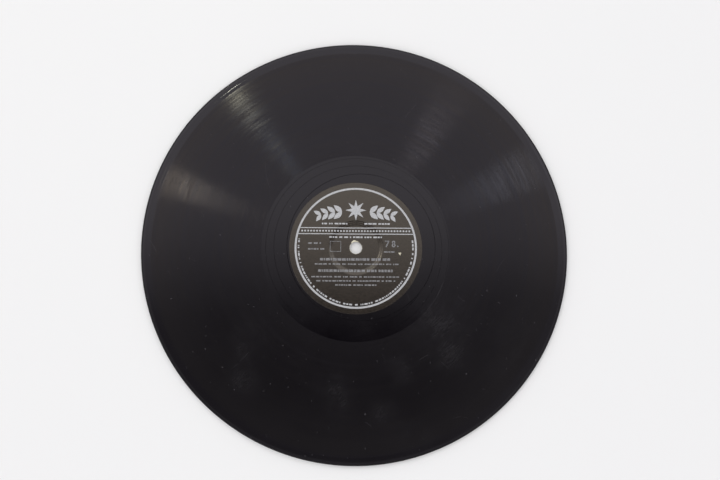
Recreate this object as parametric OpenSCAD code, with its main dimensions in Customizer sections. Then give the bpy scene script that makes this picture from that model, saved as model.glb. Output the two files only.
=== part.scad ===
// Ten-inch shellac record for 78 turns a minute: a pressed disc with a paper label on each side.
// The disc lies on z = 0 with its spindle hole on the Z axis. Side 1 faces up and side 2 faces down.

/* [Disc] */
// Outside diameter of the disc
disc_d = 250; // [200:1:300]
// Thickness of the disc at its playing faces
disc_t = 2.2; // [1.8:0.1:3]
// Rounding of the rim's two corners
edge_r = 0.9; // [0.3:0.1:1.5]
// Diameter of the spindle hole, through the disc and both labels
spindle_d = 7.26; // [6:0.01:9]

/* [Labels] */
// Diameter of a paper label
label_d = 78; // [60:0.5:90]
// Thickness of the label paper
label_t = 0.12; // [0.08:0.01:0.2]
// How far a label's face lies below the playing face
label_sink = 0.03; // [0.01:0.01:0.1]
// Gap between a label and its seat, round its edge and under it
label_clearance = 0.05; // [0.02:0.01:0.1]
// Diameter of the shallow dish that the press leaves round the hole
dish_d = 32; // [24:0.1:40]
// Width of the slope round the dish
dish_slope_w = 2.3; // [1:0.1:4]
// Depth of the dish
dish_depth = 0.35; // [0.1:0.01:0.5]

/* [Groove] */
// Width of the V-shaped groove at the playing face
groove_w = 0.4; // [0.3:0.05:0.7]
// Depth of the groove
groove_depth = 0.2; // [0.1:0.01:0.25]
// Smooth margin between the rim's rounding and the start of the groove
margin_w = 0.9; // [0.6:0.1:5]
// Width of the band that the lead-in turns cross
lead_in_w = 3.8; // [2:0.1:6]
// Turns of the lead-in
lead_in_turns = 1; // [1:1:3]
// Turns of the music, about a tenth of the real count and further apart, so that each one shows
music_turns = 24; // [8:1:40]
// Least width of the band that the run-out's two turns cross, out to the end of the music
run_out_w = 8.2; // [5:0.1:14]
// Share of that way inwards that the first of the two turns goes, the last one being steeper
run_out_share = 0.43; // [0.3:0.01:0.5]
// How far the closed stopping groove's centre lies off the spindle, to swing an automatic stop's arm
stop_offset = 3.3; // [1:0.1:5]
// Gap between the label's edge and the nearest point of the stopping groove
stop_gap = 1.2; // [0.6:0.1:3]
// Direction in which the stopping groove lies furthest out, in degrees from +X
stop_angle = 16; // [0:1:359]
// How far before that direction the run-out joins the stopping groove, in degrees
run_out_lead = 46; // [25:1:80]

/* [Hidden] */
$fn = 180;

shellac_black = "#1b191c";
label_brown = "#3f3a34";

// A cutter stands this far out of the face that it cuts
cut_over = 0.05;

spindle_r = spindle_d / 2;
label_r = label_d / 2;
dish_r = dish_d / 2;
dish_floor_r = dish_r - dish_slope_w;
corner_r = min(edge_r, disc_t / 2 - cut_over);

// A length rounded to hundredths of a millimetre, so that the groove's half turns meet exactly
function hundredths(length) = round(length * 100) / 100;

// Radii of the stopping groove, and the distance from the spindle at which the run-out meets it
stop_near_r = label_r + stop_gap;
stop_r = stop_near_r + stop_offset;
join_r = stop_offset * cos(run_out_lead) + sqrt(pow(stop_r, 2) - pow(stop_offset * sin(run_out_lead), 2));

// From the rim inwards, how far each stretch of the groove goes in half a turn and where it starts
lead_in_start_r = hundredths(disc_d / 2 - corner_r - margin_w);
lead_in_step = hundredths(lead_in_w / lead_in_turns / 2);
music_start_r = lead_in_start_r - 2 * lead_in_turns * lead_in_step;
music_w = music_start_r - stop_near_r - 2 * stop_offset - run_out_w;
music_step = floor(music_w / music_turns / 2 * 100) / 100;
music_end_r = music_start_r - 2 * music_turns * music_step;
run_out_way = music_end_r - join_r - groove_w / 4;
run_out_first_step = hundredths(run_out_way * run_out_share / 2);
run_out_last_step = hundredths(run_out_way * (1 - run_out_share) / 2);
run_out_mid_r = music_end_r - 2 * run_out_first_step;

// Places its children on both playing faces, each with its face at z = 0 and the disc below it
module on_both_faces() {
    translate([0, 0, disc_t / 2])
        for (flip = [0, 180])
            rotate([flip, 0, 0])
                translate([0, 0, disc_t / 2])
                    children();
}

// Blank with rounded rim corners
module disc_blank() {
    rotate_extrude() {
        square([disc_d / 2 - corner_r, disc_t]);
        translate([0, corner_r])
            square([disc_d / 2, disc_t - 2 * corner_r]);
        for (z = [corner_r, disc_t - corner_r])
            translate([disc_d / 2 - corner_r, z])
                circle(corner_r);
    }
}

// Section of a layer that follows the dish, between two radii and two heights over the playing face
module dished_outline(inner_r, outer_r, low, high) {
    polygon([
        [inner_r, low - dish_depth],
        [dish_floor_r, low - dish_depth],
        [dish_r, low],
        [outer_r, low],
        [outer_r, high],
        [dish_r, high],
        [dish_floor_r, high - dish_depth],
        [inner_r, high - dish_depth]
    ]);
}

// Recess that the press leaves for a label, as a cutter
module label_seat() {
    seat_depth = label_sink + label_t + label_clearance;
    rotate_extrude()
        dished_outline(0, label_r + label_clearance, -seat_depth, dish_depth + cut_over);
}

// Section of the groove: a V that has its width at z = 0 and goes on upwards
module groove_section() {
    half_w = groove_w / 2 * (1 + cut_over / groove_depth);
    polygon([[-half_w, cut_over], [0, -groove_depth], [half_w, cut_over]]);
}

// A stretch of spiral in true arcs, a step further in after each half turn. Its first half turns share
// one centre and its second ones another, half a step to either side of the spindle, so each half turn
// runs on from the one before.
module spiral(from_r, step, turns) {
    for (half = [0, 1])
        rotate([0, 0, 180 * half])
            translate([step / 2, 0, 0])
                rotate_extrude(angle = 180)
                    for (k = [0 : turns - 1])
                        translate([from_r - step * (2 * k + half + 0.5), 0])
                            groove_section();
}

// The groove of a side, anticlockwise from the rim inwards: lead-in, music, run-out and the closed
// stopping groove, as a cutter. The run-out ends just inside the stopping groove's outer wall.
module groove() {
    rotate([0, 0, stop_angle - run_out_lead]) {
        spiral(lead_in_start_r, lead_in_step, lead_in_turns);
        spiral(music_start_r, music_step, music_turns);
        spiral(music_end_r, run_out_first_step, 1);
        spiral(run_out_mid_r, run_out_last_step, 1);
    }
    rotate([0, 0, stop_angle])
        translate([stop_offset, 0, 0])
            rotate_extrude()
                translate([stop_r, 0])
                    groove_section();
}

// Pressed disc with its groove, label seats and spindle hole
module disc() {
    color(shellac_black)
        difference() {
            disc_blank();
            translate([0, 0, -cut_over])
                cylinder(r = spindle_r, h = disc_t + 2 * cut_over);
            on_both_faces() {
                label_seat();
                groove();
            }
        }
}

// Paper label pressed into its seat, dished with the disc
module label() {
    color(label_brown)
        rotate_extrude()
            dished_outline(spindle_r, label_r, -label_sink - label_t, -label_sink);
}

module label_side_1() {
    translate([0, 0, disc_t])
        label();
}

module label_side_2() {
    rotate([180, 0, 0])
        label();
}

disc();
label_side_1();
label_side_2();
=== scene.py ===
"""Ten-inch shellac record: the pressed disc with its groove, two paper labels and their silver print."""
import math

import bpy
import numpy as np
from mathutils import Matrix


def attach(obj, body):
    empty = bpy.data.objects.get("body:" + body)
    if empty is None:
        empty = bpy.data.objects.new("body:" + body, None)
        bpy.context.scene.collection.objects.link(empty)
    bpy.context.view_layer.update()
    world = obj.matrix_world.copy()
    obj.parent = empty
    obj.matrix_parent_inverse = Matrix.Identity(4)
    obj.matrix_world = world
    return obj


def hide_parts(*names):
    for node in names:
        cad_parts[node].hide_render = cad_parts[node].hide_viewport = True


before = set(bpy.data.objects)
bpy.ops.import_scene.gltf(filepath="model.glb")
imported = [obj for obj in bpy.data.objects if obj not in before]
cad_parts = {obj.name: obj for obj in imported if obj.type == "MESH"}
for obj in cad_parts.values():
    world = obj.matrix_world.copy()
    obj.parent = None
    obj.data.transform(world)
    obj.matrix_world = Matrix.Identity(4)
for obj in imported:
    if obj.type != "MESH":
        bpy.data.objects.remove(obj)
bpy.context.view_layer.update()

# Sizes in millimetres, the same as the CAD model's, while the frame is in metres. The outside radius is a
# hundredth less, so that the rim's corners stay inside the CAD model's box.
MM = 0.001
BOX_SPARE = 0.01
DISC_R = 125.0 - BOX_SPARE
DISC_T = 2.2
CORNER_R = 0.9
SPINDLE_R = 3.63
LABEL_R = 39.0
LABEL_T = 0.12
LABEL_SINK = 0.03
LABEL_CLEARANCE = 0.05
DISH_R = 16.0
DISH_FLOOR_R = 13.7
DISH_DEPTH = 0.35
MARGIN_W = 0.9
LEAD_IN_W = 3.8
LEAD_IN_TURNS = 1
MUSIC_END_R = 55.08
RUN_OUT_SHARE = 0.43
STOP_OFFSET = 3.3
STOP_R = 43.5
STOP_DEGREES = 16
RUN_OUT_LEAD = 46

TURN = 2 * math.pi
FLAT_R = DISC_R - CORNER_R
LEAD_IN_R = FLAT_R - MARGIN_W
MUSIC_START_R = LEAD_IN_R - LEAD_IN_W
SEAT_R = LABEL_R + LABEL_CLEARANCE
STOP_ANGLE = math.radians(STOP_DEGREES)
JOIN_ANGLE = math.radians(STOP_DEGREES - RUN_OUT_LEAD)

# The groove as the picture shows it. The music's real pitch is a quarter of a millimetre. It is drawn at
# about twice that, so that a turn is near one pixel wide and the mesh stays light.
MUSIC_TURNS = 120
MUSIC_DEPTH = 0.009
MUSIC_MOST_HALF_W = 0.25
LEAD_IN_DEPTH = 0.016
LEAD_IN_HALF_W = 0.12
PLAIN_DEPTH = 0.08
STOP_DEPTH = 0.15
MARGIN_SLOPE = 0.01
# Waves of the music's pitch: how far each one swings, and how often from start to end
PITCH_WAVES = ((0.25, 9), (0.07, 29))
# Winding angles over which the depth changes: next to where a stretch begins, and before the join
DEPTH_CHANGE = 0.3
LAST_CHANGE = 1
# How the music's depth and width wander: seed, knots in a turn, and by or between which shares
DEPTH_SEED = 5
DEPTH_KNOTS = 1.7
DEPTH_SWING = 0.45
WIDTH_SEED = 6
WIDTH_KNOTS = 1.6
WIDTH_SHARES = (0.22, 0.42)
# Points round a turn, and over the rounding of the rim
SEGMENTS = 220
RIM_POINTS = 11
# Width of a narrow row that keeps a wide land flat. It is at most a twelfth of the pitch.
SUPPORT_W = 0.04
SUPPORTS_IN_PITCH = 12

# Winding angles at which the stretches of the groove begin, from the rim inwards. The margin takes two
# turns and the run-out two, and at the last angle the run-out joins the stopping groove.
MARGIN_WIND = -2 * TURN
LEAD_IN_WIND = 0.0
MUSIC_WIND = LEAD_IN_WIND + TURN * LEAD_IN_TURNS
RUN_OUT_WIND = MUSIC_WIND + TURN * MUSIC_TURNS
LAST_TURN_WIND = RUN_OUT_WIND + TURN
JOIN_WIND = RUN_OUT_WIND + 2 * TURN
START_ANGLE = JOIN_ANGLE - JOIN_WIND

# Rubbed patches of the disc: place across and up, radius, and how far the gloss is gone
SCUFFS = (
    (48, -43, 12, 0.12),
    (55, -62, 9, 0.06),
    (-14, -80, 7, 0.10),
    (-9, -93, 7, 0.07),
    (18, -95, 8, 0.05),
    (24, -73, 8, 0.05),
    (-62, -55, 12, 0.04),
    (-64, -76, 7, 0.06),
    (90, -60, 14, 0.03),
    (35, -108, 10, 0.04),
)
# Soft and loud passages: distance from the spindle, and what is added to the roughness
PASSAGES = (
    (55, -0.004),
    (62, 0.0),
    (68, -0.008),
    (75, 0.006),
    (80, -0.004),
    (87, -0.010),
    (93, 0.0),
    (97, -0.002),
    (100, 0.010),
    (104, 0.0),
    (108, -0.004),
    (112, -0.002),
    (115, 0.008),
    (119, 0.012),
)

# Rings of points on a label's face: from which radius, to which, and how many. They lie closest round the
# hole, where the paper is torn.
LABEL_COLUMNS = 480
FLAT_RINGS = (38.5, 16.5, 64)
SLOPE_RINGS = (DISH_R, DISH_FLOOR_R, 17)
DISH_RINGS = (13, 6, 18)
HOLE_RINGS = (5.8, SPINDLE_R, 24)
LABEL_EDGE_W = 0.06
LABEL_EDGE_DROP = 0.03
# Share of the dish's slope that the sine wave of its two steps takes
STEP_SWING = 0.03
# Wear of the label: the tear round the hole, the chip right of it and the rubbed slope
TORN_ANGLE = math.radians(103)
TORN_HALF_ANGLE = 0.5
TORN_W = 0.75
TORN_LEAST_W = 0.06
TORN_SOFT_W = 0.12
CHIP_X = 26.0
CHIP_Y = -3.4
CHIP_TOP = 0.75
CHIP_TIP = 1.1
CHIP_SLOPES = (1.4, 2.6)
CHIP_SOFT_W = 0.3
RUBBED_HALF_W = 1.6

# The print, in millimetres from the label's middle
INK_T = 0.012
PRINT_STEP = 0.5
RING_RADII = (34.75, 35.85)
RULE_END_R = 34.9
RULE_H = 0.5
RULES_Y = (11.8, 8.2)
BEADS_Y = 10.0
BEAD_R = 0.55
BEAD_STEP = 1.75
BEADS_EACH_WAY = 18
STAR_Y = 22.4
STAR_RADII = (6.2, 2.6)
STAR_TIPS = 8
EDGE_ROW_RADII = (33.1, 34.0)
EDGE_ROW_ANGLES = (math.radians(171), math.radians(368))
EDGE_BAR_ANGLES = (0.012, 0.06)
EDGE_GAP_ANGLES = (0.016, 0.016, 0.05)
SPEED_X = 17.0
SPEED_Y = 2.4
FRAME_LINE_W = 0.3
FRAME_BAR_ENDS = (-15.2, -8.7)
FRAME_BARS_Y = (-2.2, 3.8)
FRAME_UPRIGHT_ENDS = (-2.0, 3.6)
FRAME_UPRIGHTS_X = (-15.05, -8.85)
BOLD_SEED = 10
SMALL_SEED = 78
# A spray's pairs of leaves: place, lift and size of the first pair, and what changes from pair to pair
PAIRS_IN_SPRAY = 4
LEAF_X = 8.2
LEAF_STEP = 4.1
LEAF_Y = 21.2
LEAF_SINK = 0.18
LEAF_LIFT = 0.7
LEAF_HANG = 0.08
LEAF_L = 6.4
LEAF_SHORTER = 0.5
LEAF_W = 2.9
LEAF_NARROWER = 0.2
# How far the two leaves of a pair stand apart at their stems, for each radian of lift
LEAF_APART = 0.05
# Bars in a row: least and greatest length, least rest of a row, gap, wide gap and how often it is wide
BAR_LENGTHS = (0.7, 2.4)
BAR_REST = 0.8
BAR_GAP = 0.42
BAR_WIDE_GAP = 1.1
BAR_WIDE_SHARE = 0.22
# Rows of bars: left end, right end, height on the label and height of a bar
BOLD_ROWS = (
    (-20, -5, 14.3, 0.9),
    (5, 20, 14.3, 0.9),
    (-15.5, 16, 6.3, 0.9),
)
SMALL_ROWS = (
    (-28, -20, 2.6, 0.9),
    (-28, -17.5, -0.8, 0.9),
    (16.5, 24.5, -2.4, 0.8),
    (-21, 21, -6.9, 1.5),
    (-24, 25, -9.7, 0.8),
    (-22, 22, -13.6, 1.5),
    (-26, 26, -17.2, 0.8),
    (-23, 23, -19.6, 0.8),
    (-12, 12, -22.0, 0.8),
)


# Meshes

# Points in one cell of this fine grid become one, and an edge sharper than the crease isn't smoothed
CELLS_PER_MM = 1e5
CREASE = math.radians(20)


def rows_to_quads(rows, columns, closed=False):
    """Quads between neighbouring rows of a grid of points, outer row first and columns anticlockwise.
    With closed, the last column joins the first one."""
    across = columns if closed else columns - 1
    row, column = np.meshgrid(np.arange(rows - 1), np.arange(across), indexing="ij")
    here = row * columns + column
    beside = row * columns + (column + 1) % columns
    return np.stack([here, beside, beside + columns, here + columns], -1).reshape(-1, 4)


def join(blocks):
    """Points and quads of several blocks as one: a block's quads count on from the points before it."""
    points = np.concatenate([block for block, _ in blocks])
    starts = np.cumsum([0] + [len(block) for block, _ in blocks])
    quads = np.concatenate([faces + start for (_, faces), start in zip(blocks, starts)])
    return points, quads


def make_piece(name, points, quads, materials, cad_node=None, kinds=None, marks=None):
    """Mesh object from points in millimetres and quads. Points that coincide become one, and a quad
    with two corners in one place becomes a triangle. kinds is the material index of each quad, and
    marks holds point attributes by name."""
    cells = np.round(points * CELLS_PER_MM).astype(np.int64)
    _, first, back = np.unique(cells, axis=0, return_index=True, return_inverse=True)
    quads = back.reshape(-1)[quads]
    same = quads == np.roll(quads, -1, axis=1)
    keep = same.sum(1) < 2
    faces = [quad[~twice].tolist() for quad, twice in zip(quads[keep], same[keep])]
    mesh = bpy.data.meshes.new(name)
    mesh.from_pydata((points[first] * MM).tolist(), [], faces)
    for mark, values in (marks or {}).items():
        attribute = mesh.attributes.new(mark, "FLOAT", "POINT")
        attribute.data.foreach_set("value", values[first].astype(np.float32))
    for material in materials:
        mesh.materials.append(material)
    if kinds is not None:
        mesh.polygons.foreach_set("material_index", kinds[keep].astype(np.int32))
    mesh.shade_smooth()
    mesh.set_sharp_from_angle(angle=CREASE)
    mesh.validate()
    obj = bpy.data.objects.new(name, mesh)
    bpy.context.scene.collection.objects.link(obj)
    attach(obj, "root")
    if cad_node:
        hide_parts(cad_node)


def on_side(points, side):
    """Points whose playing face is at z = 0, moved to side 1 on top or turned over to side 2 below."""
    if side == 1:
        return points + np.array([0, 0, DISC_T])
    return points * np.array([1, -1, -1])


def polar(r, angle, z):
    """Points at distance r from the spindle in direction angle, at height z, as one array."""
    r, angle, z = np.broadcast_arrays(r, angle, z)
    return np.stack([r * np.cos(angle), r * np.sin(angle), z], -1).reshape(-1, 3)


# The disc

def stop_radius(angle):
    """Distance from the spindle to the closed stopping groove, a circle with its centre off the spindle."""
    a = angle - STOP_ANGLE
    return STOP_OFFSET * np.cos(a) + np.sqrt(STOP_R ** 2 - (STOP_OFFSET * np.sin(a)) ** 2)


def groove_radius(wind):
    """Distance from the spindle to the groove after winding through an angle. It falls in straight
    stretches: two turns of smooth margin, then lead-in, music and two turns of run-out to the stopping
    groove. In the music two sine waves widen and narrow the pitch, as loud and soft passages do."""
    join_r = stop_radius(JOIN_ANGLE)
    last_turn_r = MUSIC_END_R - RUN_OUT_SHARE * (MUSIC_END_R - join_r)
    steps = [
        (MARGIN_WIND, FLAT_R),
        (MARGIN_WIND + TURN, FLAT_R),
        (LEAD_IN_WIND, LEAD_IN_R),
        (MUSIC_WIND, MUSIC_START_R),
        (RUN_OUT_WIND, MUSIC_END_R),
        (LAST_TURN_WIND, last_turn_r),
        (JOIN_WIND, join_r),
    ]
    r = np.interp(wind, *zip(*steps))
    t = np.clip((wind - MUSIC_WIND) / (RUN_OUT_WIND - MUSIC_WIND), 0, 1) * TURN
    for swing, count in PITCH_WAVES:
        r = r + swing * np.sin(count * t)
    return r


def in_music(wind):
    """Where a winding angle lies in the music."""
    return (wind > MUSIC_WIND) & (wind < RUN_OUT_WIND)


def wander(wind, seed, knots_in_turn, low, high):
    """Value that wanders along the music: straight lines between random knots, one or two to each turn."""
    knots = np.random.default_rng(seed).uniform(low, high, 2 * MUSIC_TURNS)
    return np.interp((wind - MUSIC_WIND) / TURN * knots_in_turn, np.arange(2 * MUSIC_TURNS), knots)


def groove_depth(wind):
    """Depth of the groove along its winding: none in the margin, shallow in the lead-in and the music, deep
    in the run-out and deepest where that meets the stopping groove. In the music it wanders up and down at
    random from turn to turn, as sounds do, so the fans of light break up into fine lines."""
    steps = [
        (LEAD_IN_WIND, 0),
        (LEAD_IN_WIND + DEPTH_CHANGE, LEAD_IN_DEPTH),
        (MUSIC_WIND - DEPTH_CHANGE, LEAD_IN_DEPTH),
        (MUSIC_WIND + DEPTH_CHANGE, MUSIC_DEPTH),
        (RUN_OUT_WIND - DEPTH_CHANGE, MUSIC_DEPTH),
        (RUN_OUT_WIND + DEPTH_CHANGE, PLAIN_DEPTH),
        (JOIN_WIND - LAST_CHANGE, PLAIN_DEPTH),
        (JOIN_WIND, STOP_DEPTH),
    ]
    even = np.interp(wind, *zip(*steps))
    swing = wander(wind, DEPTH_SEED, DEPTH_KNOTS, -DEPTH_SWING, DEPTH_SWING)
    return even * (1 + np.where(in_music(wind), swing, 0))


def groove_half_width(wind, pitch):
    """Half the groove's width: even in the lead-in, and the same as its depth in the run-out. In the music
    it is about a third of the pitch and wanders from turn to turn too."""
    share = wander(wind, WIDTH_SEED, WIDTH_KNOTS, *WIDTH_SHARES)
    music = np.minimum(MUSIC_MOST_HALF_W, pitch * share)
    run_out = np.maximum(groove_depth(wind), PLAIN_DEPTH)
    plain = np.where(wind <= MUSIC_WIND, LEAD_IN_HALF_W, run_out)
    return np.where(in_music(wind), music, np.minimum(plain, pitch / 3))


def margin_fall(r):
    """Height of the face at a distance from the spindle: level, but falling by a hundredth of the way out
    across the lead-in and the margin, towards the rim."""
    return -MARGIN_SLOPE * np.clip(r - MUSIC_START_R, 0, FLAT_R - MUSIC_START_R)


def scuffs(x, y):
    """How far the gloss is rubbed off, 0 to 1: soft round patches in the lower half, each a bell curve."""
    return sum(by * np.exp(-((x - at_x) ** 2 + (y - at_y) ** 2) / r ** 2) for at_x, at_y, r, by in SCUFFS)


def loudness(r):
    """How far a passage's wider swing roughens the gloss, by distance from the spindle: soft and loud in
    turn, and loudest at the start, with straight lines between."""
    return np.interp(r, *zip(*PASSAGES))


def wound_strip(low, high, supported=False):
    """Strip of the playing face, wound inwards between two winding angles. Across it, a point goes from one
    turn of the groove to the next, over the wall, the land and the next wall. With supported, a narrow row
    beside each wall keeps the wide land between them flat. It closes up at the strip's two ends, where the
    next strip has no such row."""
    wind = np.linspace(low, high, round((high - low) / TURN * SEGMENTS) + 1)
    level = 0 * wind
    outer = groove_radius(wind)
    inner = groove_radius(wind + TURN)
    wall = groove_half_width(wind, outer - inner)
    next_wall = groove_half_width(wind + TURN, outer - inner)
    r = np.stack([outer, outer - wall, inner + next_wall, inner])
    z = np.stack([-groove_depth(wind), level, level, -groove_depth(wind + TURN)])
    if supported:
        edge = np.minimum(SUPPORT_W, (outer - inner) / SUPPORTS_IN_PITCH)
        edge[[0, -1]] = 0
        r = np.insert(r, 2, [outer - wall - edge, inner + next_wall + edge], axis=0)
        z = np.insert(z, 2, [level, level], axis=0)
    return polar(r, START_ANGLE + wind, z + margin_fall(r)), rows_to_quads(len(r), len(wind))


def stop_strip():
    """Strip from the last turn of the run-out over the stopping groove to the label seat. The walls of both
    grooves slope at 45 degrees, and the two that face each other take at most a third of the way each."""
    wind = np.linspace(LAST_TURN_WIND, JOIN_WIND, SEGMENTS + 1)
    angle = START_ANGLE + wind
    level = 0 * wind
    outer = groove_radius(wind)
    stop = stop_radius(angle)
    deep = groove_depth(wind)
    wall = groove_half_width(wind, outer - stop)
    far_wall = np.minimum(STOP_DEPTH, (outer - stop) / 3)
    bottom = level - STOP_DEPTH
    r = np.stack([outer, outer - wall, stop + far_wall, stop, stop - STOP_DEPTH, level + SEAT_R])
    z = np.stack([-deep, wall - deep, bottom + far_wall, bottom, level, level])
    return polar(r, angle, z), rows_to_quads(len(r), len(wind))


def rings(radii, heights):
    """Band of rings round the spindle, one at each radius and height."""
    angle = (START_ANGLE + TURN * np.arange(SEGMENTS) / SEGMENTS)[None, :]
    points = polar(np.array(radii)[:, None], angle, np.array(heights)[:, None])
    return points, rows_to_quads(len(radii), SEGMENTS, closed=True)


def rim_band():
    """Rim from mid thickness up and round a quarter circle to the margin."""
    bend = np.linspace(0, math.pi / 2, RIM_POINTS)
    r = np.concatenate([[DISC_R], FLAT_R + CORNER_R * np.cos(bend)])
    z = np.concatenate([[-DISC_T / 2], CORNER_R * (np.sin(bend) - 1) + margin_fall(FLAT_R)])
    return rings(r, z)


def seat_and_bore():
    """Label seat, which follows the dish, and the bore down to mid thickness, in straight stretches."""
    bed = -LABEL_SINK - LABEL_T - LABEL_CLEARANCE
    r = [SEAT_R, SEAT_R, DISH_R, DISH_FLOOR_R, SPINDLE_R, SPINDLE_R]
    z = [0, bed, bed, bed - DISH_DEPTH, bed - DISH_DEPTH, -DISC_T / 2]
    return rings(r, z)


# Places of the disc's finishes in its list of materials
SMOOTH = 0
GROOVED = 1
RIM = 2
MARGIN = 3


def disc_side(side, materials):
    """Half of the disc's thickness, from the middle of the rim over one playing face to the middle of the
    bore, closed at mid thickness. The face is strips wound inwards, and the rest is rings of points round
    the spindle."""
    bands = [
        (MARGIN, wound_strip(MARGIN_WIND, MUSIC_WIND, supported=True)),
        (GROOVED, wound_strip(MUSIC_WIND, RUN_OUT_WIND - TURN)),
        (SMOOTH, wound_strip(RUN_OUT_WIND - TURN, LAST_TURN_WIND, supported=True)),
        (SMOOTH, stop_strip()),
        (RIM, rim_band()),
        (SMOOTH, seat_and_bore()),
        (SMOOTH, rings([SPINDLE_R, DISC_R], [-DISC_T / 2, -DISC_T / 2])),
    ]
    points, quads = join([block for _, block in bands])
    kinds = np.concatenate([np.full(len(faces), kind) for kind, (_, faces) in bands])
    x = points[:, 0]
    y = points[:, 1]
    marks = {"scuff": scuffs(x, y), "loud": loudness(np.hypot(x, y))}
    points = on_side(points, side)
    make_piece(f"disc_side_{side}", points, quads, materials, "disc", kinds, marks)


# The labels

def label_face(r):
    """Height of a label's face over the playing face: sunk a little, and lower in the dish round the hole,
    down a slope that a small sine wave turns into two soft steps."""
    t = np.clip((r - DISH_FLOOR_R) / (DISH_R - DISH_FLOOR_R), 0, 1)
    stepped = t - STEP_SWING * np.sin(2 * TURN * t)
    return -LABEL_SINK - DISH_DEPTH * (1 - stepped)


def torn_edge(angle):
    """Radius out to which the paper's dark face is torn off round the hole: a line made ragged by three
    sine waves, and pushed out at the top by a bell curve with a flat head."""
    a = np.angle(np.exp(1j * (angle - TORN_ANGLE)))
    ragged = 0.5 * np.sin(7 * a + 0.6) + 0.3 * np.sin(13 * a + 2.1) + 0.2 * np.sin(29 * a)
    pushed = (TORN_W + 0.3 * ragged) * np.exp(-(a / TORN_HALF_ANGLE) ** 4)
    return SPINDLE_R + TORN_LEAST_W + pushed + 0.1 * ragged


def torn_chip(x, y):
    """1 inside a small three-cornered chip in the paper's dark face, 0 outside: the least of the distances
    inwards from its three sides, made steep."""
    u = x - CHIP_X
    v = y - CHIP_Y
    left, right = CHIP_SLOPES
    inwards = np.min([CHIP_TOP - v, v + CHIP_TIP + left * u, v + CHIP_TIP - right * u], axis=0)
    return np.clip(inwards / CHIP_SOFT_W, 0, 1)


def paper_label(side, material):
    """Paper label: rings of points over its face from edge to hole, down the hole and back below to
    the edge. The face follows the dish. The torn mark is 1 where the dark face is gone, and the rubbed mark
    is 1 on the dish's slope at the top and falls to 0 at the bottom."""
    angle = (TURN * np.arange(LABEL_COLUMNS) / LABEL_COLUMNS)[None, :]
    edge = [LABEL_R, LABEL_R - LABEL_EDGE_W]
    stretches = [np.linspace(*stretch) for stretch in (FLAT_RINGS, SLOPE_RINGS, DISH_RINGS, HOLE_RINGS)]
    face_r = np.concatenate([edge, *stretches])
    face_z = label_face(face_r)
    face_z[0] -= LABEL_EDGE_DROP
    back_r = np.array([SPINDLE_R, DISH_FLOOR_R, DISH_R, LABEL_R, LABEL_R])
    back_z = label_face(back_r) - LABEL_T
    back_z[-1] = face_z[0]
    r = np.concatenate([face_r, back_r])[:, None]
    z = np.concatenate([face_z, back_z])[:, None]
    points = on_side(polar(r, angle, z), side)
    quads = rows_to_quads(len(r), LABEL_COLUMNS, closed=True)
    torn = np.clip((torn_edge(angle) - r) / TORN_SOFT_W + 0.5, 0, 1)
    torn = np.maximum(torn, torn_chip(r * np.cos(angle), r * np.sin(angle)))
    on_slope = np.clip(RUBBED_HALF_W - np.abs(r - (DISH_R + DISH_FLOOR_R) / 2), 0, 1)
    rubbed = on_slope * (1 + np.sin(angle)) / 2
    marks = {"torn": torn.reshape(-1), "rubbed": rubbed.reshape(-1)}
    cad_node = f"label_side_{side}"
    make_piece(f"paper_label_{side}", points, quads, [material], cad_node, marks=marks)


# The print

def film(grid):
    """Film of ink over a flat grid of places [s, t, (x, y)]: the same grid twice, just over the label's
    face and just under it, with walls round the border. A grid whose ends meet has no walls there."""
    rows, columns = grid.shape[:2]
    count = rows * columns
    flat = grid.reshape(-1, 2)
    z = label_face(np.hypot(flat[:, 0], flat[:, 1]))
    top = np.column_stack([flat, z + INK_T])
    low = np.column_stack([flat, z - INK_T])
    index = np.arange(count).reshape(rows, columns)
    face = np.stack([index[:-1, :-1], index[1:, :-1], index[1:, 1:], index[:-1, 1:]], -1).reshape(-1, 4)
    edges = [(index[:-1, 0], index[1:, 0]), (index[1:, -1], index[:-1, -1])]
    if not np.allclose(grid[0], grid[-1]):
        edges += [(index[-1, :-1], index[-1, 1:]), (index[0, 1:], index[0, :-1])]
    wall = np.concatenate([np.stack([a + count, b + count, b, a], -1) for a, b in edges])
    return np.concatenate([top, low]), np.concatenate([face, face[:, ::-1] + count, wall])


def bar(x0, x1, y, height):
    """Straight bar from x0 to x1, centred on y, with points every half millimetre."""
    x = np.linspace(x0, x1, int((x1 - x0) / PRINT_STEP) + 2)
    rows = np.linspace(y - height / 2, y + height / 2, int(height / PRINT_STEP) + 2)
    return np.stack(np.meshgrid(x, rows, indexing="ij"), -1)


def arc(r0, r1, a0, a1, x=0.0, y=0.0, steps=24):
    """Band between two radii and two angles about a centre."""
    a, r = np.meshgrid(np.linspace(a1, a0, steps + 1), [r0, r1], indexing="ij")
    return np.stack([x + r * np.cos(a), y + r * np.sin(a)], -1)


def dot(r, x, y):
    """Round dot, as a band from its centre to its radius."""
    return arc(0, r, 0, TURN, x, y, steps=12)


def stroke(x0, y0, x1, y1, width):
    """Straight stroke of even width between two points."""
    way = np.array([x1 - x0, y1 - y0])
    aside = np.array([-way[1], way[0]]) / np.hypot(*way) * width / 2
    s = np.linspace(0, 1, 6)[:, None, None]
    return np.array([x0, y0]) + s * way + np.array([-1, 1])[None, :, None] * aside


def leaf(x, y, angle, length, width):
    """Pointed leaf: its half width follows a sine from stem to tip, fullest a little before the middle."""
    s, t = np.meshgrid(np.linspace(0, 1, 15), [-1, 1], indexing="ij")
    along = s * length
    aside = t * width / 2 * np.sin(math.pi * s ** 0.85)
    across = x + along * math.cos(angle) - aside * math.sin(angle)
    up = y + along * math.sin(angle) + aside * math.cos(angle)
    return np.stack([across, up], -1)


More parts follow.
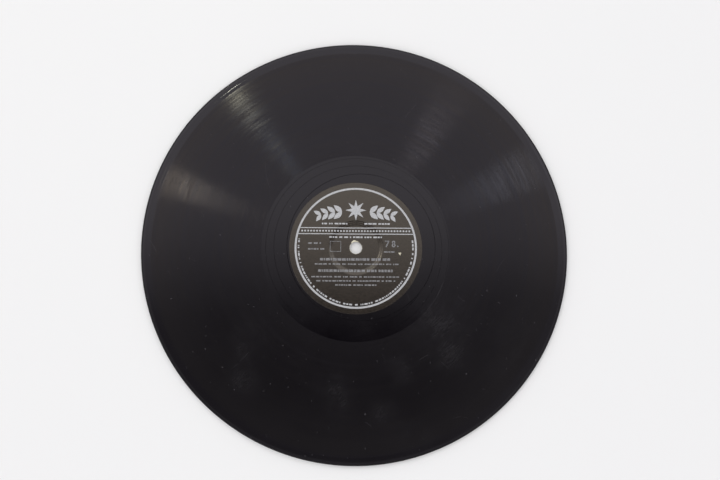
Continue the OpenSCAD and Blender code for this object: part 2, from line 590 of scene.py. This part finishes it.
def star(x, y, r_out, r_in, tips):
    """Star: its radius swings evenly between points and hollows round a centre."""
    a = np.linspace(TURN, 0, tips * 2 + 1)
    r = np.where(np.arange(tips * 2 + 1) % 2 == 0, r_out, r_in)
    t = np.array([0, 1])[None, :]
    return np.stack([x + t * (r * np.sin(a))[:, None], y + t * (r * np.cos(a))[:, None]], -1)


def spray(way):
    """Leaves in pairs on one side of the star, to the right for way 1 and to the left for way -1. Each pair
    lies further out and lower than the one before, is smaller and hangs more."""
    leaves = []
    for k in range(PAIRS_IN_SPRAY):
        x = LEAF_X + LEAF_STEP * k
        y = LEAF_Y - LEAF_SINK * k ** 2
        length = LEAF_L - LEAF_SHORTER * k
        width = LEAF_W - LEAF_NARROWER * k
        for lift in (LEAF_LIFT - LEAF_HANG * k, -LEAF_LIFT - LEAF_HANG * k):
            angle = lift if way > 0 else math.pi - lift
            leaves.append(leaf(way * x, y + LEAF_APART * lift, angle, length, width))
    return leaves


def broken_line(rng, x0, x1, y, height):
    """Row of short bars of uneven length between x0 and x1, with a wide gap here and there."""
    bars = []
    x = x0
    while x < x1 - BAR_REST:
        end = min(x1, x + rng.uniform(*BAR_LENGTHS))
        bars.append(bar(x, end, y, height))
        x = end + (BAR_WIDE_GAP if rng.random() < BAR_WIDE_SHARE else BAR_GAP)
    return bars


def edge_row(rng):
    """Row of short bars of uneven length that follows the ring round the label's lower half."""
    bars = []
    angle, last = EDGE_ROW_ANGLES
    while angle < last:
        length = rng.uniform(*EDGE_BAR_ANGLES)
        bars.append(arc(*EDGE_ROW_RADII, angle, angle + length, steps=3))
        angle += length + rng.choice(EDGE_GAP_ANGLES)
    return bars


def bold_print(side):
    """Shapes of the bold silver print: ring, two rules with beads between, a star between two sprays of
    leaves, and rows of short bars."""
    rng = np.random.default_rng(BOLD_SEED + side)
    shapes = [arc(*RING_RADII, 0, TURN, steps=240)]
    for y in RULES_Y:
        half = math.sqrt(RULE_END_R ** 2 - y ** 2)
        shapes.append(bar(-half, half, y, RULE_H))
    for k in range(-BEADS_EACH_WAY, BEADS_EACH_WAY + 1):
        shapes.append(dot(BEAD_R, BEAD_STEP * k, BEADS_Y))
    shapes.append(star(0, STAR_Y, *STAR_RADII, STAR_TIPS))
    shapes += spray(-1) + spray(1)
    for row in BOLD_ROWS:
        shapes += broken_line(rng, *row)
    return shapes + edge_row(rng)


def speed_mark(side):
    """The figure 78, from a bar, a slanted stroke and two rings, and the side's number as dots after it."""
    x = SPEED_X
    y = SPEED_Y
    seven = [bar(x, x + 2.6, y + 1.6, 0.6), stroke(x + 2.3, y + 1.5, x + 0.7, y - 1.9, 0.65)]
    eight = [arc(0.4, 1.0, 0, TURN, x + 5.2, y + 0.9), arc(0.5, 1.15, 0, TURN, x + 5.2, y - 0.85)]
    dots = [dot(0.5, x + 7.6 + 1.6 * k, y - 1.4) for k in range(side)]
    return seven + eight + dots


def square_frame():
    """Plain frame of two thin bars and two upright strokes."""
    low, high = FRAME_UPRIGHT_ENDS
    bars = [bar(*FRAME_BAR_ENDS, y, FRAME_LINE_W) for y in FRAME_BARS_Y]
    uprights = [stroke(x, low, x, high, FRAME_LINE_W) for x in FRAME_UPRIGHTS_X]
    return bars + uprights


def small_print(side):
    """Shapes of the fine print: the speed, a plain square frame and rows of short bars."""
    rng = np.random.default_rng(SMALL_SEED + side)
    shapes = speed_mark(side) + square_frame()
    for row in SMALL_ROWS:
        shapes += broken_line(rng, *row)
    return shapes


def print_piece(name, side, shapes, material):
    """All films of one ink on one label, as one piece."""
    points, quads = join([film(shape) for shape in shapes])
    make_piece(f"{name}_{side}", on_side(points, side), quads, [material])


# Materials

# Settings of nodes that come again
EASE = {"interpolation_type": "SMOOTHSTEP"}
COLOURS = {"data_type": "RGBA"}
LEAN = {"operation": "DOT_PRODUCT"}


def linear(code):
    """sRGB hex code as linear red, green, blue and alpha."""
    c = np.array([int(code[k:k + 2], 16) for k in (1, 3, 5)]) / 255
    return (*np.where(c <= 0.04045, c / 12.92, ((c + 0.055) / 1.055) ** 2.4).tolist(), 1.0)


def node(tree, kind, settings=None, **inputs):
    """Adds a shader node, sets its properties and its inputs. An input that is a socket is linked, and one
    that is a node is linked from its first output. Input names use _ for a space, and i with a number picks
    an input by its place: for Map Range, i1 and i2 are where it starts from, i3 and i4 what it gives."""
    added = tree.nodes.new("ShaderNode" + kind)
    for key, value in (settings or {}).items():
        setattr(added, key, value)
    for key, value in inputs.items():
        by_place = key[0] == "i" and key[1:].isdigit()
        socket = added.inputs[int(key[1:]) if by_place else key.replace("_", " ")]
        if isinstance(value, bpy.types.Node):
            value = value.outputs[0]
        if isinstance(value, bpy.types.NodeSocket):
            tree.links.new(value, socket)
        else:
            socket.default_value = value
    return added


def new_material(name):
    """Empty material with its Principled shader joined to the output."""
    material = bpy.data.materials.new(name)
    material.use_nodes = True
    tree = material.node_tree
    tree.nodes.clear()
    shader = node(tree, "BsdfPrincipled")
    node(tree, "OutputMaterial", Surface=shader)
    return material, tree, shader


def music_streaks(tree, flat, radius, clean):
    """Noise wound round the spindle: turns of the music broken into streaks about 1.3 mm wide and, 91 mm
    from the spindle, 13 mm long. Where clean is low, a film left by hands evens them out."""
    heading = node(tree, "VectorMath", {"operation": "NORMALIZE"}, i0=flat)
    turn = node(tree, "VectorMath", {"operation": "SCALE"}, i0=heading, Scale=91 / 13)
    row = node(tree, "Math", {"operation": "DIVIDE"}, i0=radius, i1=1.3 * MM)
    lift = node(tree, "CombineXYZ", Z=row)
    wound = node(tree, "VectorMath", {"operation": "ADD"}, i0=turn, i1=lift)
    noise = node(tree, "TexNoise", Vector=wound, Scale=1.0, Detail=3.0, Roughness=0.6)
    swing = node(tree, "Math", {"operation": "SUBTRACT"}, i0=noise, i1=0.5)
    return node(tree, "Math", {"operation": "MULTIPLY_ADD"}, i0=swing, i1=clean, i2=0.5)


def dust_and_nicks(tree, place, upwards):
    """Share of grey from dust and nicks, real ones a tenth of a millimetre, drawn about half a millimetre
    across so that they show. A fine noise makes their outlines ragged, and they lie thicker lower down."""
    ragged = node(tree, "TexNoise", Vector=place, Scale=1 / (0.8 * MM), Detail=1.0).outputs["Color"]
    shift = (2 * MM, 2 * MM, 2 * MM)
    shaken = node(tree, "VectorMath", {"operation": "MULTIPLY_ADD"}, i0=ragged, i1=shift, i2=place)
    specks = node(tree, "TexVoronoi", {"feature": "F1"}, Vector=shaken, Scale=1 / (3.4 * MM)).outputs
    thin = node(tree, "MapRange", Value=specks["Distance"], i1=0.06, i2=0.12, i3=1.0, i4=0.0)
    chance = node(tree, "SeparateColor", Color=specks["Color"])
    thick = node(tree, "MapRange", Value=upwards, i1=-40 * MM, i2=60 * MM, i3=0.5, i4=0.2)
    some = node(tree, "MapRange", Value=chance, i1=0.74, i2=1.0, i3=0.0, i4=thick)
    return node(tree, "Math", {"operation": "MULTIPLY"}, i0=thin, i1=some)


def curved_scratches(tree, place, haze, grey):
    """Adds curved scratches to a share of grey. They run where a slow noise crosses its middle, and show
    only where the haze is thick."""
    slow = node(tree, "TexNoise", Vector=place, Scale=1 / (34 * MM), Detail=0.0)
    off = node(tree, "Math", {"operation": "SUBTRACT"}, i0=slow, i1=0.5)
    near = node(tree, "Math", {"operation": "ABSOLUTE"}, i0=off)
    line = node(tree, "MapRange", Value=near, i1=0.0, i2=0.005, i3=0.06, i4=0.0)
    kept = node(tree, "MapRange", Value=haze, i1=0.57, i2=0.62)
    return node(tree, "Math", {"operation": "MULTIPLY_ADD"}, i0=line, i1=kept, i2=grey)


def rubbed_gloss(tree, place, haze, grey):
    """Adds the haze of handling and the scuffs to a share of grey. Hairline scratches in the scuffs lie
    mostly one way, real ones under a tenth of a millimetre, drawn 0.7 mm wide so that they show."""
    turned = node(tree, "Mapping", Vector=place, Rotation=(0, 0, -0.75))
    along = node(tree, "Mapping", Vector=turned, Scale=(0.2, 1, 1))
    hairs = node(tree, "TexNoise", Vector=along, Scale=1 / (0.7 * MM), Detail=2.0)
    fine = node(tree, "MapRange", Value=hairs, i1=0.35, i2=0.75, i3=0.3, i4=1.7)
    scuff = node(tree, "Attribute", {"attribute_name": "scuff"}).outputs["Fac"]
    worn = node(tree, "MapRange", Value=haze, i1=0.35, i2=0.75)
    cloud = node(tree, "Math", {"operation": "MULTIPLY_ADD"}, i0=scuff, i1=fine, i2=0.008)
    return node(tree, "Math", {"operation": "MULTIPLY_ADD"}, i0=worn, i1=cloud, i2=grey)


def split_light(tree, radius):
    """Faint tint of the gloss, as fine grooves split light: violet and rose in rings about 3 mm wide, with
    more rose towards the rim."""
    hue = node(tree, "TexNoise", {"noise_dimensions": "1D"}, W=radius, Scale=1 / (3 * MM), Detail=2.0)
    outer = node(tree, "MapRange", Value=radius, i1=90 * MM, i2=115 * MM, i3=-0.25, i4=0.25)
    split = node(tree, "Math", {"operation": "ADD", "use_clamp": True}, i0=hue, i1=outer)
    return node(tree, "Mix", COLOURS, Factor=split, A=linear("#f2edfd"), B=linear("#fff2f2")).outputs[2]


def shellac(name, black, rough, gloss, spread=0.0, grey_from=0.0, grey_to=0.0, grey_by=0.0):
    """Shellac with slate filler and carbon black, pressed hot between polished stampers: near black and
    glossy, with dust and a haze of handling. With spread, the gloss widens across the groove and stays
    sharp along it, so that lamps draw out into fans, faintly tinted as fine grooves split light. Between
    two distances from the spindle, in millimetres, a grey grows to a share: in the grooves it greys them
    towards the rim, and on the margin it is a painted highlight from the rim's rounded shoulder, just
    inside it."""
    material, tree, shader = new_material(name)
    place = node(tree, "TexCoord").outputs["Object"]
    upwards = node(tree, "SeparateXYZ", Vector=place).outputs["Y"]
    flat = node(tree, "VectorMath", {"operation": "MULTIPLY"}, i0=place, i1=(1, 1, 0))
    radius = node(tree, "VectorMath", {"operation": "LENGTH"}, i0=flat).outputs["Value"]
    # Haze of handling in patches of about 25 mm
    haze = node(tree, "TexNoise", Vector=place, Scale=1 / (25 * MM), Detail=5.0, Roughness=0.65)
    grey = dust_and_nicks(tree, place, upwards)
    grey = curved_scratches(tree, place, haze, grey)
    grey = rubbed_gloss(tree, place, haze, grey)
    if grey_by:
        # A grey that grows outwards. On the margin it is a painted highlight from the rim's rounded
        # shoulder.
        ring_grey = node(tree, "MapRange", EASE, Value=radius, i1=grey_from * MM, i2=grey_to * MM, i4=grey_by)
        grey = node(tree, "Math", {"operation": "ADD"}, i0=grey, i1=ring_grey)
    colour = node(tree, "Mix", COLOURS, Factor=grey, A=linear(black), B=linear("#6b696d"))
    tree.links.new(colour.outputs[2], shader.inputs["Base Color"])
    if spread:
        # A film left by hands lies over the lower half
        clean = node(tree, "MapRange", EASE, Value=upwards, i1=-50 * MM, i2=20 * MM, i3=0.1, i4=1.0)
        streaks = music_streaks(tree, flat, radius, clean)
        even = node(tree, "MapRange", Value=streaks, i1=0.3, i2=0.7, i3=rough[0], i4=rough[1])
        loud = node(tree, "Attribute", {"attribute_name": "loud"}).outputs["Fac"]
        dull = node(tree, "Math", {"operation": "MULTIPLY_ADD"}, i0=loud, i1=clean, i2=even)
        tree.links.new(split_light(tree, radius), shader.inputs["Specular Tint"])
    else:
        dull = node(tree, "MapRange", Value=haze, i1=0.3, i2=0.7, i3=rough[0], i4=rough[1])
        shader.inputs["Specular Tint"].default_value = linear("#fdf7ff")
    tree.links.new(dull.outputs[0], shader.inputs["Roughness"])
    # The quarter turn lays the wide way of the gloss across the groove
    shader.inputs["Anisotropic"].default_value = spread
    shader.inputs["Anisotropic Rotation"].default_value = 0.25
    shader.inputs["Specular IOR Level"].default_value = gloss
    shader.inputs["IOR"].default_value = 1.52
    return material


def label_paper(name):
    """Calendered label paper printed all over in a brownish black and pressed into hot shellac: a warm
    sheen that turns dark where nothing bright is mirrored, with cream fibres where its face is torn off."""
    material, tree, shader = new_material(name)
    place = node(tree, "TexCoord").outputs["Object"]
    # Fibres about 0.3 mm apart are drawn at 0.9 mm so that they show
    fibre = node(tree, "TexNoise", Vector=place, Scale=1 / (0.9 * MM), Detail=3.0, Roughness=0.7)
    # The ground is a little darker in patches of about 14 mm
    patch = node(tree, "TexNoise", Vector=place, Scale=1 / (14 * MM), Detail=3.0)
    ground = node(tree, "Mix", COLOURS, Factor=patch, A=linear("#070403"), B=linear("#0b0706"))
    fleck = node(tree, "MapRange", Value=fibre, i1=0.38, i2=0.62)
    mottled = node(tree, "Mix", COLOURS, Factor=fleck, A=ground.outputs[2], B=linear("#1f1815"))
    torn = node(tree, "Attribute", {"attribute_name": "torn"}).outputs["Fac"]
    colour = node(tree, "Mix", COLOURS, Factor=torn, A=mottled.outputs[2], B=linear("#cfc9b4"))
    tree.links.new(colour.outputs[2], shader.inputs["Base Color"])
    rubbed = node(tree, "Attribute", {"attribute_name": "rubbed"}).outputs["Fac"]
    even = node(tree, "MapRange", Value=fibre, i1=0.3, i2=0.7, i3=0.085, i4=0.16)
    dull = node(tree, "Math", {"operation": "MULTIPLY_ADD"}, i0=rubbed, i1=0.12, i2=even)
    tree.links.new(dull.outputs[0], shader.inputs["Roughness"])
    bump = node(tree, "Bump", Strength=0.6, Distance=0.02 * MM, Height=fibre)
    tree.links.new(bump.outputs[0], shader.inputs["Normal"])
    shader.inputs["IOR"].default_value = 1.56
    shader.inputs["Specular IOR Level"].default_value = 1.0
    shader.inputs["Specular Tint"].default_value = linear("#fff3e4")
    return material


def silver_ink(name, light, dark):
    """Aluminium-pigment ink, letterpress printed: matt silver grey, a little uneven where the paper took
    less."""
    material, tree, shader = new_material(name)
    place = node(tree, "TexCoord").outputs["Object"]
    # Uneven ink at about 0.7 mm
    take = node(tree, "TexNoise", Vector=place, Scale=1 / (0.7 * MM), Detail=2.0)
    even = node(tree, "MapRange", Value=take, i1=0.35, i2=0.65)
    colour = node(tree, "Mix", COLOURS, Factor=even, A=linear(dark), B=linear(light))
    tree.links.new(colour.outputs[2], shader.inputs["Base Color"])
    shader.inputs["Metallic"].default_value = 0.25
    shader.inputs["Roughness"].default_value = 0.5
    return material


smooth = shellac("shellac_pressed_smooth", "#060407", rough=(0.09, 0.13), gloss=0.51)
grooved = shellac("shellac_pressed_grooves", "#0f0d0f", rough=(0.07, 0.165), gloss=0.375, spread=0.92,
                  grey_from=85, grey_to=121, grey_by=0.02)
ground_rim = shellac("shellac_ground_rim", "#0c0a0c", rough=(0.42, 0.52), gloss=0.12)
# The grey near the margin's outer edge is a painted highlight from the rim's rounded shoulder.
margin = shellac("shellac_pressed_margin", "#171518", rough=(0.06, 0.08), gloss=0.46,
                 grey_from=122.2, grey_to=123.6, grey_by=0.04)
paper = label_paper("label_paper_calendered")
ink = silver_ink("silver_ink_letterpress", "#b6b6b9", "#a4a4a7")
thin_ink = silver_ink("silver_ink_thin", "#878689", "#656467")

for side in (1, 2):
    disc_side(side, [smooth, grooved, ground_rim, margin])
    paper_label(side, paper)
    print_piece("bold_print", side, bold_print(side), ink)
    print_piece("small_print", side, small_print(side), thin_ink)

# Floor: matt white, a hair below the record and far wider, in metres. A tenth of what the camera and the
# gloss see of it is an even pale grey, and the rest is lit.

FLOOR_HALF_W = 6.0
FLOOR_Z = -0.00005
FLOOR_EVEN_SHARE = 0.1

floor_mat, tree, shader = new_material("floor_matt_white")
shader.inputs["Base Color"].default_value = linear("#e2e1e1")
shader.inputs["Roughness"].default_value = 0.6
path = node(tree, "LightPath").outputs
seen = node(tree, "Math", {"operation": "MAXIMUM"}, i0=path["Is Camera Ray"], i1=path["Is Glossy Ray"])
shown = node(tree, "Math", {"operation": "MAXIMUM"}, i0=seen, i1=path["Is Transmission Ray"])
share = node(tree, "Math", {"operation": "MULTIPLY"}, i0=shown, i1=FLOOR_EVEN_SHARE)
plain = node(tree, "Emission", Color=linear("#f8f8fa"), Strength=1.0)
both = node(tree, "MixShader", i0=share, i1=shader, i2=plain)
tree.links.new(both.outputs[0], tree.nodes["Material Output"].inputs["Surface"])
corners = [(x * FLOOR_HALF_W, y * FLOOR_HALF_W, FLOOR_Z) for x, y in ((-1, -1), (1, -1), (1, 1), (-1, 1))]
floor_mesh = bpy.data.meshes.new("floor")
floor_mesh.from_pydata(corners, [], [(0, 1, 2, 3)])
floor_mesh.materials.append(floor_mat)
floor = bpy.data.objects.new("floor", floor_mesh)
bpy.context.scene.collection.objects.link(floor)


# Light

def lamp(name, place_mm, size_mm, watts, colour):
    """Round lamp of a given size, aimed at the record's middle. The grooves draw its mirror image out into
    one fan of light."""
    data = bpy.data.lights.new(name, "AREA")
    data.shape = "DISK"
    data.size = size_mm * MM
    data.energy = watts
    data.color = linear(colour)[:3]
    obj = bpy.data.objects.new(name, data)
    place = np.array(place_mm) * MM
    z = place / np.linalg.norm(place)
    x = np.cross([0, 1, 0], z)
    x /= np.linalg.norm(x)
    turned = Matrix(np.column_stack([x, np.cross(z, x), z]).tolist()).to_4x4()
    obj.matrix_world = Matrix.Translation(place) @ turned
    bpy.context.scene.collection.objects.link(obj)


lamp("lamp_rear_left", (-216, 446, 800), 36, 0.42, "#f8ffe2")
lamp("lamp_middle_left", (-77, 263, 800), 24, 0.003, "#b8dcff")
lamp("lamp_left", (-224, 218, 800), 42, 0.027, "#fff9df")
lamp("lamp_right", (250, 233, 800), 60, 0.0165, "#eaf5ff")
lamp("lamp_rear_right", (132, 294, 800), 46, 0.0092, "#fffaf6")

# The sky is dark straight above and white lower down. It brightens in soft ramps by how far a direction
# leans: to the rear, further down at the rear, to the front, to the left, to the right and to both sides.
world = bpy.data.worlds.new("studio")
bpy.context.scene.world = world
world.use_nodes = True
sky = world.node_tree
sky.nodes.clear()
direction = node(sky, "TexCoord").outputs["Generated"]
rearwards = node(sky, "VectorMath", LEAN, i0=direction, i1=(0.02, 1, 0)).outputs["Value"]
across = node(sky, "VectorMath", LEAN, i0=direction, i1=(1, 0, 0)).outputs["Value"]
aside = node(sky, "Math", {"operation": "ABSOLUTE"}, i0=across)
rear = node(sky, "MapRange", EASE, Value=rearwards, i1=0.055, i2=0.215, i3=0.0, i4=0.92)
low_rear = node(sky, "MapRange", EASE, Value=rearwards, i1=0.36, i2=0.60, i3=0.0, i4=0.4)
front = node(sky, "MapRange", EASE, Value=rearwards, i1=-0.11, i2=-0.21, i3=0.0, i4=1.1)
sides = node(sky, "MapRange", EASE, Value=aside, i1=0.5, i2=0.66, i3=0.0, i4=0.9)
left = node(sky, "MapRange", EASE, Value=across, i1=-0.18, i2=-0.36, i3=0.0, i4=0.6)
right = node(sky, "MapRange", EASE, Value=across, i1=0.08, i2=0.25, i3=0.0, i4=0.18)
back = node(sky, "Math", {"operation": "ADD"}, i0=rear, i1=low_rear)
fore = node(sky, "Math", {"operation": "MAXIMUM"}, i0=front, i1=right)
around = node(sky, "Math", {"operation": "MAXIMUM"}, i0=back, i1=fore)
with_left = node(sky, "Math", {"operation": "ADD"}, i0=around, i1=left)
level = node(sky, "Math", {"operation": "MAXIMUM"}, i0=with_left, i1=sides)
glow = node(sky, "Background", Color=linear("#fdfdff"), Strength=level)
node(sky, "OutputWorld", Surface=glow)

# Camera, fitted to the photograph: place in millimetres, turns in radians, lens and shifts in pixels

EYE = (-19.402, -90.554, 561.1 + DISC_T)
EYE_TURN_X = 0.167594
EYE_TURN_Y = -0.0393885
PICTURE_W = 720
FOCAL_LENGTH = 970.37
SHIFT_X = -0.49
SHIFT_Y = 0.27
SENSOR_W_MM = 36.0

camera = bpy.data.cameras.new("camera")
camera.sensor_width = SENSOR_W_MM
camera.lens = FOCAL_LENGTH / PICTURE_W * SENSOR_W_MM
camera.shift_x = SHIFT_X / PICTURE_W
camera.shift_y = SHIFT_Y / PICTURE_W
camera.clip_start = 0.01
eye = bpy.data.objects.new("camera", camera)
turned = Matrix.Rotation(EYE_TURN_Y, 4, "Y") @ Matrix.Rotation(EYE_TURN_X, 4, "X")
eye.matrix_world = Matrix.Translation([at * MM for at in EYE]) @ turned
bpy.context.scene.collection.objects.link(eye)
bpy.context.scene.camera = eye
bpy.context.scene.view_settings.view_transform = "Standard"
